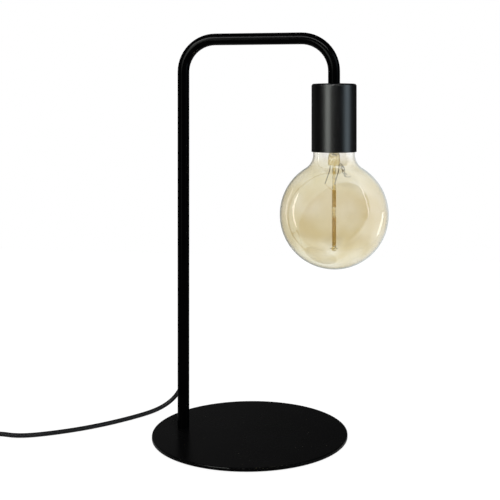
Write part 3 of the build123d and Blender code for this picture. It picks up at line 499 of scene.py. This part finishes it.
# The blown globe, outside and inside
GLASS_WALL = 0.8
NECK_R = 18.3
NECK_BLEND = 14.0
SHOULDER_Z = TIP_Z - 32.5
SEAT_Z = TIP_Z - 27.4
SEAT_R = 12.75
SHOULDER_ROUND = 3.0
SEAT_ROUND = 2.0
GLASS_TOP = TIP_Z - 23.8
GLOBE_STEPS = 48
BLEND_STEPS = 10
ROUND_STEPS = 5
GLOBE_SIDES = 128


def arc(middle, radius, start, end, count):
    """Points along an arc, from one angle to another, in radians."""
    return [
        (middle[0] + radius * math.cos(start + (end - start) * i / count),
         middle[1] + radius * math.sin(start + (end - start) * i / count))
        for i in range(count + 1)
    ]


def glass_line(inset):
    """Half the bulb's outline, from its lowest point up to its top edge, inset by the wall or by nothing."""
    blend_x = NECK_R + NECK_BLEND
    blend_z = math.sqrt((GLOBE_R + NECK_BLEND) ** 2 - blend_x ** 2)
    meet = math.atan2(blend_z, blend_x)
    line = arc((0, GLOBE_Z), GLOBE_R - inset, -math.pi / 2, meet, GLOBE_STEPS)
    line[0] = (0.0, GLOBE_Z - GLOBE_R + inset)
    line += arc((blend_x, GLOBE_Z + blend_z), NECK_BLEND + inset, meet + math.pi, math.pi, BLEND_STEPS)[1:]
    turn = math.pi / 2 - math.atan2(SEAT_Z - SHOULDER_Z, NECK_R - SEAT_R)
    radius = SHOULDER_ROUND - inset
    middle = (NECK_R - inset - radius, SHOULDER_Z - radius * math.tan(turn / 2))
    line += arc(middle, radius, 0.0, turn, ROUND_STEPS)
    radius = SEAT_ROUND + inset
    middle = (SEAT_R - inset + radius, SEAT_Z + radius * math.tan(turn / 2))
    line += arc(middle, radius, math.pi + turn, math.pi, ROUND_STEPS)
    line.append((SEAT_R - inset, GLASS_TOP))
    return line


globe_line = glass_line(0.0) + glass_line(GLASS_WALL)[::-1]
globe = link(turned_mesh("globe", globe_line, GLOBE_SIDES), "bulb", "bulb_glass")
dress(globe, amber)


# The screw cap, with its rolled thread
CAP_R = 13.1
CAP_WALL = 0.3
CAP_LOW = TIP_Z - 26.2
CAP_BEND = TIP_Z - 6.4
CAP_TOP = TIP_Z - 4.8
CAP_MOUTH = 10.2
CAP_LIP = 0.2
THREAD_PITCH = 3.63
THREAD_DEPTH = 0.75
THREAD_START = CAP_LOW + 3.0
THREAD_END = CAP_BEND - 1.2
THREAD_FADE = 1.6
THREAD_STEP = 0.3
CAP_STEPS = 72
CAP_WIRE_Z = TIP_Z - 15.8
CAP_WIRE_TURN = 0.5


def thread_radius(turn, height):
    """The cap's radius at a part of a turn and a height. A ridge meets the side wire's end."""
    phase = (height - CAP_WIRE_Z) / THREAD_PITCH - (turn - CAP_WIRE_TURN)
    wave = 0.5 - 0.5 * math.cos(2 * math.pi * phase)
    ends = min(height - THREAD_START, THREAD_END - height) / THREAD_FADE
    fade = max(0.0, min(1.0, ends))
    return CAP_R - THREAD_DEPTH * wave * fade * fade * (3 - 2 * fade)


def screw_cap(name):
    """The threaded cap as a thin closed shell about the bulb's axis."""
    count = round((CAP_BEND - CAP_LOW) / THREAD_STEP)
    levels = [CAP_LOW + (CAP_BEND - CAP_LOW) * i / count for i in range(count + 1)]
    rows = [(level, None, 0.0) for level in levels]
    rows += [(CAP_TOP, CAP_MOUTH + CAP_LIP, 0.0), (CAP_TOP - CAP_WALL, CAP_MOUTH, 0.0)]
    rows += [(CAP_BEND - CAP_WALL / 2, CAP_R - CAP_WALL, 0.0)]
    rows += [(level, None, CAP_WALL) for level in reversed(levels[:-1])]
    made = bmesh.new()
    rings = []
    for level, radius, inset in rows:
        ring = []
        for k in range(CAP_STEPS):
            turn = k / CAP_STEPS
            reach = (thread_radius(turn, level) if radius is None else radius) - inset
            ring.append(made.verts.new(about_bulb(reach, 2 * math.pi * turn, level)))
        rings.append(ring)
    for a, b in zip(rings, rings[1:] + rings[:1]):
        for k in range(CAP_STEPS):
            n = (k + 1) % CAP_STEPS
            made.faces.new((a[k], a[n], b[n], b[k]))
    return finished(name, made)


cap = link(screw_cap("threaded_cap"), "bulb", "bulb_cap")
dress(cap, cap_metal)


# The filament and the thin wires round it
WINDING_R = 1.7
WINDING_WIRE = 0.2
WINDING_PITCH = 0.62
WINDING_STEPS = 14
UPPER_WINDING = (TIP_Z - 82.0, TIP_Z - 67.1)
LOWER_WINDING = (TIP_Z - 116.0, TIP_Z - 90.7)
LEG_WIRE = 0.12
TAIL_WIRE = 0.26


def wire_curve(name, radius, resolution=2):
    """An empty curve for wires of one radius in millimetres."""
    curve = bpy.data.curves.new(name, "CURVE")
    curve.dimensions = "3D"
    curve.bevel_depth = radius * MM
    curve.bevel_resolution = resolution
    curve.use_fill_caps = True
    return curve


def as_mesh(curve):
    """A curve's tubes as one mesh object."""
    line = bpy.data.objects.new(curve.name, curve)
    mesh = bpy.data.meshes.new_from_object(line)
    bpy.data.objects.remove(line)
    mesh.name = curve.name
    smooth_faces(mesh)
    return bpy.data.objects.new(curve.name, mesh)


def wind_into(curve, low, high):
    """Adds one winding round the bulb's axis to a curve, between two heights in millimetres."""
    count = int((high - low) / WINDING_PITCH * WINDING_STEPS)
    spline = curve.splines.new("POLY")
    spline.points.add(count)
    for i, point in enumerate(spline.points):
        angle = 2 * math.pi * i / WINDING_STEPS
        point.co = (*about_bulb(WINDING_R, angle, low + (high - low) * i / count), 1)


def wire_into(curve, points):
    """Adds one smooth wire to a curve, from points in millimetres, x and y from the bulb's axis."""
    spline = curve.splines.new("NURBS")
    spline.points.add(len(points) - 1)
    for point, (x, y, z) in zip(spline.points, points):
        point.co = ((BULB_X + x) * MM, y * MM, z * MM, 1)
    spline.order_u = 3
    spline.use_endpoint_u = True


turns_of_wire = wire_curve("winding", WINDING_WIRE, resolution=1)
wind_into(turns_of_wire, *UPPER_WINDING)
wind_into(turns_of_wire, *LOWER_WINDING)
winding = link(as_mesh(turns_of_wire), "bulb", "bulb_filament")
dress(winding, filament_metal)

legs = wire_curve("filament_legs", LEG_WIRE)
wire_into(legs, [(-1.7, 0, UPPER_WINDING[0]), (-1.9, 0, UPPER_WINDING[0] - 4), (-1.7, 0, LOWER_WINDING[1])])
wire_into(legs, [(-7.8, 0.3, TIP_Z - 62.0), (-5, 0.2, TIP_Z - 65), (-1.8, 0, UPPER_WINDING[1])])
filament_legs = link(as_mesh(legs), "bulb")
dress(filament_legs, filament_metal)

# The wires' spare tails, curled beside the press
tails = wire_curve("wire_tails", TAIL_WIRE)
wire_into(tails, [
    (4.3, -0.5, 238.6), (6.4, -1.2, 242.0), (8.6, -1.4, 240.2), (7.4, -1.0, 236.4), (5.6, -0.8, 238.4),
    (7.6, -1.2, 240.6), (9.9, -1.6, 236.8), (8.4, -1.4, 232.2), (11.8, -1.2, 230.6), (14.6, -1.0, 231.2),
])
wire_into(tails, [
    (3.9, -0.8, 240.2), (5.6, -2.0, 243.4), (7.4, -2.2, 241.0), (6.0, -1.6, 238.2), (8.2, -1.8, 236.0),
    (10.4, -1.6, 233.6), (9.6, -1.2, 231.0),
])
wire_into(tails, [
    (5.2, 0.6, 237.0), (7.2, 0.9, 239.6), (9.2, 0.8, 238.6), (8.6, 0.6, 235.6), (6.8, 0.4, 236.2),
    (7.8, 0.5, 233.6), (10.2, 0.8, 234.8), (11.4, 0.6, 232.4),
])
wire_tails = link(as_mesh(tails), "bulb")
dress(wire_tails, nickel)


# Floor, world and lights. Colours are linear, and a level of 1 is white.
WHITE = (1.0, 1.0, 1.0)
WARM = (1.0, 0.97, 0.90)
COOL = (0.86, 0.94, 1.0)
LEAF = (0.95, 1.0, 0.94)
SKY = (0.74, 0.90, 1.0)

# The floor: its level as a background, its colours in plain light, and its level in satin paint
FLOOR_SEEN = 0.93
FLOOR_SHADOWED = (0.12, 0.12, 0.12)
FLOOR_PLAIN = (0.55, 0.55, 0.55)
FLOOR_HALF = 1.0
FLOOR_DROP = 0.0002
PAINT_FRONT, PAINT_FLOOR = 0.04, 0.30
PAINT_CHANGE = (-0.11, -0.04)

# The room's level in plain light, and the dark room that satin paint sees
ROOM_PLAIN = 0.55
ROOM_FRONT = 0.015
ROOM_BACK = (0.048, 0.012)
ROOM_SIDES = (-0.30, -0.05)
ROOM_TURN = (-0.1, 0.4)

# The ground and the dark opening that the outside of clear glass sees
DARK_GLASS = 0.08
OPENING_TURN = 7.7
OPENING_EDGE = 0.285
OPENING_SOFT = 0.06
OPENING_BEND = 0.13
OPENING_RISE = 0.19
OPENING_TWIST = 0.60
LEFT_GROUND = (0.05, 1.30)
RIGHT_GROUND = (0.85, 3.30)
LEFT_TINT = (0.75, 1.0, 1.05)
RIGHT_TINT = (0.88, 0.97, 1.06)
GROUND_TURN = (-0.8, 0.0)
GROUND_SIDES = (-0.4, 0.4)
LOW_GROUND = (-0.85, -0.35, 0.1, 1.0)
HAZE_WAY = (-3, 5)
HAZE_SPREAD = (0.72, 0.97)
HAZE = 0.85

# The walls that carry the narrow lights, in millimetres, and how thin those are at their ends
LEFT_WALL = -450
RIGHT_WALL = 400
STRIP_END = 0.3

AIM = (0.02, 0, 0.18)


def light_kind(nodes, links):
    """Three masks: rays that see the background, rays off satin surfaces, and rays off clear glass."""
    path = nodes.new("ShaderNodeLightPath")
    seen = maths(nodes, links, "MAXIMUM", path.outputs["Is Camera Ray"], path.outputs["Is Transmission Ray"])
    back = maths(nodes, links, "SUBTRACT", 1.0, path.outputs["Is Transmission Ray"])
    glossy = maths(nodes, links, "MULTIPLY", path.outputs["Is Glossy Ray"], back)
    sharp = maths(nodes, links, "MULTIPLY", glossy, path.outputs["Is Singular Ray"])
    satin = maths(nodes, links, "SUBTRACT", glossy, sharp)
    return seen, satin, sharp


def direction(azimuth, elevation):
    """A direction from its angles in degrees. Azimuth 0 is the camera's side, and 90 is the right."""
    a, e = math.radians(azimuth), math.radians(elevation)
    return Vector((math.sin(a) * math.cos(e), -math.cos(a) * math.cos(e), math.sin(e)))


def along(nodes, links, way, axis):
    """How closely a direction follows another one, from -1 to 1."""
    step = nodes.new("ShaderNodeVectorMath")
    step.operation = "DOT_PRODUCT"
    step.inputs[1].default_value = axis
    links.new(way, step.inputs[0])
    return step.outputs["Value"]


def mixed(nodes, links, mask, first, second):
    """A shader that is the first where the mask is 0 and the second where it is 1."""
    step = nodes.new("ShaderNodeMixShader")
    links.new(mask, step.inputs["Fac"])
    links.new(first, step.inputs[1])
    links.new(second, step.inputs[2])
    return step.outputs[0]


def lit(nodes, links, kind, strength, colour=WHITE):
    """An emission or a background. Its strength and its colour are sockets or plain values."""
    step = nodes.new(kind)
    feed(links, step.inputs["Strength"], strength)
    feed(links, step.inputs["Color"], colour)
    return step.outputs[0]


def pale_ground(nodes, links, way):
    """What clear glass reflects from a direction: a dark opening in front, and a pale ground round it."""
    ahead = along(nodes, links, way, direction(OPENING_TURN, 0))
    up = along(nodes, links, way, (0, 0, 1))
    rise = maths(nodes, links, "SUBTRACT", up, OPENING_RISE)
    bend = maths(nodes, links, "MULTIPLY", maths(nodes, links, "MULTIPLY", rise, rise), OPENING_BEND)
    twist = maths(nodes, links, "MULTIPLY", along(nodes, links, way, (OPENING_TWIST, 0, 0)), up)
    margin = maths(nodes, links, "ADD", maths(nodes, links, "SUBTRACT", ahead, bend), twist)
    around = between(nodes, links, margin, OPENING_EDGE - OPENING_SOFT, OPENING_EDGE + OPENING_SOFT, 1.0, 0.0)
    left = between(nodes, links, ahead, *GROUND_TURN, *LEFT_GROUND)
    right = between(nodes, links, ahead, *GROUND_TURN, *RIGHT_GROUND)
    right = maths(nodes, links, "MULTIPLY", right, between(nodes, links, up, *LOW_GROUND))
    side = between(nodes, links, along(nodes, links, way, (1, 0, 0)), *GROUND_SIDES)
    more = maths(nodes, links, "MULTIPLY", side, maths(nodes, links, "SUBTRACT", right, left))
    level = maths(nodes, links, "MULTIPLY", maths(nodes, links, "ADD", left, more), around)
    haze = between(nodes, links, along(nodes, links, way, direction(*HAZE_WAY)), *HAZE_SPREAD, 0.0, HAZE)
    level = maths(nodes, links, "ADD", level, haze)
    shade = colour_mix(nodes, links, side, LEFT_TINT, RIGHT_TINT)
    return maths(nodes, links, "ADD", level, DARK_GLASS), shade


def stage_material():
    """A pale floor: near white as a background, with a soft shadow on it, and duller in satin paint."""
    made = bpy.data.materials.new("floor")
    made.use_nodes = True
    nodes, links = made.node_tree.nodes, made.node_tree.links
    nodes.clear()
    seen, satin, sharp = light_kind(nodes, links)
    place = nodes.new("ShaderNodeTexCoord")
    from_bulb = nodes.new("ShaderNodeVectorMath")
    from_bulb.operation = "SUBTRACT"
    from_bulb.inputs[1].default_value = (BULB_X * MM, 0, GLOBE_Z * MM)
    links.new(place.outputs["Object"], from_bulb.inputs[0])
    way = nodes.new("ShaderNodeVectorMath")
    way.operation = "NORMALIZE"
    links.new(from_bulb.outputs[0], way.inputs[0])
    ground = pale_ground(nodes, links, way.outputs[0])
    depth = coordinate(nodes, links, place, "Y")
    in_paint = between(nodes, links, depth, *PAINT_CHANGE, PAINT_FRONT, PAINT_FLOOR)
    bright, dull, reflected = (
        lit(nodes, links, "ShaderNodeEmission", strength, colour)
        for strength, colour in ((FLOOR_SEEN, WHITE), (in_paint, WHITE), ground)
    )
    thin = nodes.new("ShaderNodeBsdfDiffuse")
    feed(links, thin.inputs["Color"], FLOOR_SHADOWED)
    shaded = nodes.new("ShaderNodeAddShader")
    links.new(bright, shaded.inputs[0])
    links.new(thin.outputs[0], shaded.inputs[1])
    plain = nodes.new("ShaderNodeBsdfDiffuse")
    feed(links, plain.inputs["Color"], FLOOR_PLAIN)
    surface = mixed(nodes, links, seen, plain.outputs[0], shaded.outputs[0])
    surface = mixed(nodes, links, satin, surface, dull)
    surface = mixed(nodes, links, sharp, surface, reflected)
    out = nodes.new("ShaderNodeOutputMaterial")
    links.new(surface, out.inputs["Surface"])
    return made


floor_mesh = bpy.data.meshes.new("floor")
floor_corners = [(x * FLOOR_HALF, y * FLOOR_HALF, 0) for x, y in ((-1, -1), (1, -1), (1, 1), (-1, 1))]
floor_mesh.from_pydata(floor_corners, [], [(0, 1, 2, 3)])
floor_mesh.materials.append(stage_material())
floor = bpy.data.objects.new("floor", floor_mesh)
floor.location = (0, 0, -FLOOR_DROP)
scene.collection.objects.link(floor)

world = bpy.data.worlds.new("studio")
scene.world = world
world.use_nodes = True
w_nodes, w_links = world.node_tree.nodes, world.node_tree.links
w_nodes.clear()
w_way = w_nodes.new("ShaderNodeTexCoord").outputs["Generated"]


def glow(strength, colour=WHITE):
    """Light from the studio's surroundings."""
    return lit(w_nodes, w_links, "ShaderNodeBackground", strength, colour)


def panel(first, last, half_width, edge, strength, colour=WHITE):
    """A long soft panel in the studio, from one direction to another, by its angles in degrees."""
    start, end = direction(*first), direction(*last)
    half_length = math.degrees(start.angle(end)) / 2
    off = along(w_nodes, w_links, w_way, start.cross(end).normalized())
    across = between(w_nodes, w_links, maths(w_nodes, w_links, "ABSOLUTE", off, 0.0),
                     math.sin(math.radians(half_width - edge)), math.sin(math.radians(half_width + edge)),
                     1.0, 0.0)
    inside = between(w_nodes, w_links, along(w_nodes, w_links, w_way, (start + end).normalized()),
                     math.cos(math.radians(half_length + edge)), math.cos(math.radians(half_length - edge)))
    mask = maths(w_nodes, w_links, "MULTIPLY", across, inside)
    return glow(maths(w_nodes, w_links, "MULTIPLY", mask, strength), colour)


def dark_room():
    """The room's level in satin paint: dark in front, and lighter behind the lamp, most so on the left."""
    side = between(w_nodes, w_links, along(w_nodes, w_links, w_way, (1, 0, 0)), *ROOM_SIDES, *ROOM_BACK)
    behind = between(w_nodes, w_links, along(w_nodes, w_links, w_way, (0, 1, 0)), *ROOM_TURN)
    return maths(w_nodes, w_links, "ADD", ROOM_FRONT, maths(w_nodes, w_links, "MULTIPLY", behind, side))


def room(strength, panels):
    """An even room with panels in it."""
    total = glow(strength)
    for piece in panels:
        step = w_nodes.new("ShaderNodeAddShader")
        w_links.new(total, step.inputs[0])
        w_links.new(piece, step.inputs[1])
        total = step.outputs[0]
    return total


satin_room = room(dark_room(), [
    panel((-26.5, -30), (-26.5, 30), 11.5, 3, 4.2, LEAF),
    panel((76, -30), (76, 30), 15, 8, 2.3, SKY),
    panel((-45, 28), (25, 28), 4, 2, 12.0),
])
seen, satin, sharp = light_kind(w_nodes, w_links)
surface = mixed(w_nodes, w_links, seen, glow(ROOM_PLAIN), glow(1.0))
surface = mixed(w_nodes, w_links, satin, surface, satin_room)
surface = mixed(w_nodes, w_links, sharp, surface, glow(*pale_ground(w_nodes, w_links, w_way)))
w_out = w_nodes.new("ShaderNodeOutputWorld")
w_links.new(surface, w_out.inputs["Surface"])


def strip(name, wall, line, half_width, strength, colour=WHITE):
    """A narrow light beside the lamp that only clear glass shows, from (y, z) points in millimetres."""
    made = bpy.data.materials.new(name)
    made.use_nodes = True
    nodes, links = made.node_tree.nodes, made.node_tree.links
    nodes.clear()
    sharp = light_kind(nodes, links)[2]
    bright = lit(nodes, links, "ShaderNodeEmission", strength, colour)
    clear = nodes.new("ShaderNodeBsdfTransparent")
    out = nodes.new("ShaderNodeOutputMaterial")
    links.new(mixed(nodes, links, sharp, clear.outputs[0], bright), out.inputs["Surface"])
    made.cycles.emission_sampling = "NONE"
    corners = []
    for i, (y, z) in enumerate(line):
        reach = half_width * (STRIP_END if i in (0, len(line) - 1) else 1.0)
        corners += [(wall * MM, (y - reach) * MM, z * MM), (wall * MM, (y + reach) * MM, z * MM)]
    mesh = bpy.data.meshes.new(name)
    mesh.from_pydata(corners, [], [(2 * i, 2 * i + 1, 2 * i + 3, 2 * i + 2) for i in range(len(line) - 1)])
    mesh.materials.append(made)
    light = bpy.data.objects.new(name, mesh)
    light.visible_camera = False
    light.visible_diffuse = False
    light.visible_transmission = False
    light.visible_shadow = False
    scene.collection.objects.link(light)


strip("strip_left", LEFT_WALL, [(8, 505), (-6, 417), (-21, 329), (-34, 249), (-53, 174),
                                (-76, 95), (-100, 12)], 24, 6.5, WARM)
strip("strip_far_left", LEFT_WALL, [(330, 470), (262, 415), (235, 344), (219, 276), (208, 212), (195, 150),
                                    (181, 87), (176, 19)], 32, 1.7, WARM)
strip("strip_right", RIGHT_WALL, [(228, 196), (205, 163), (190, 143), (176, 115), (174, 84), (177, 50),
                                  (182, 12)], 38, 5.2)
strip("strip_far_right", RIGHT_WALL, [(286, 204), (327, 157), (355, 97), (375, 63), (378, 32)], 40, 1.5)
strip("strip_high_right", RIGHT_WALL, [(25, 559), (-22, 456), (-48, 377), (-62, 311), (-69, 234),
                                       (-67, 179)], 10, 6.0)


def soft_light(name, azimuth, elevation, distance, width, height, power, colour=WHITE):
    """A rectangular lamp that faces the middle of the object. Azimuth 0 is the camera's side."""
    data = bpy.data.lights.new(name, "AREA")
    data.shape = "RECTANGLE"
    data.size, data.size_y = width, height
    data.energy = power
    data.color = colour
    lamp = bpy.data.objects.new(name, data)
    away = direction(azimuth, elevation)
    lamp.location = Vector(AIM) + away * distance
    lamp.rotation_mode = "QUATERNION"
    lamp.rotation_quaternion = (-away).to_track_quat("-Z", "Y")
    lamp.visible_glossy = False
    lamp.visible_transmission = False
    scene.collection.objects.link(lamp)


soft_light("front_left", -24, 30, 1.6, 0.5, 0.9, 9.0, WARM)
soft_light("right", 83, 25, 1.5, 0.4, 0.9, 7.0, COOL)
soft_light("top", 20, 80, 1.6, 1.0, 1.0, 9.0)
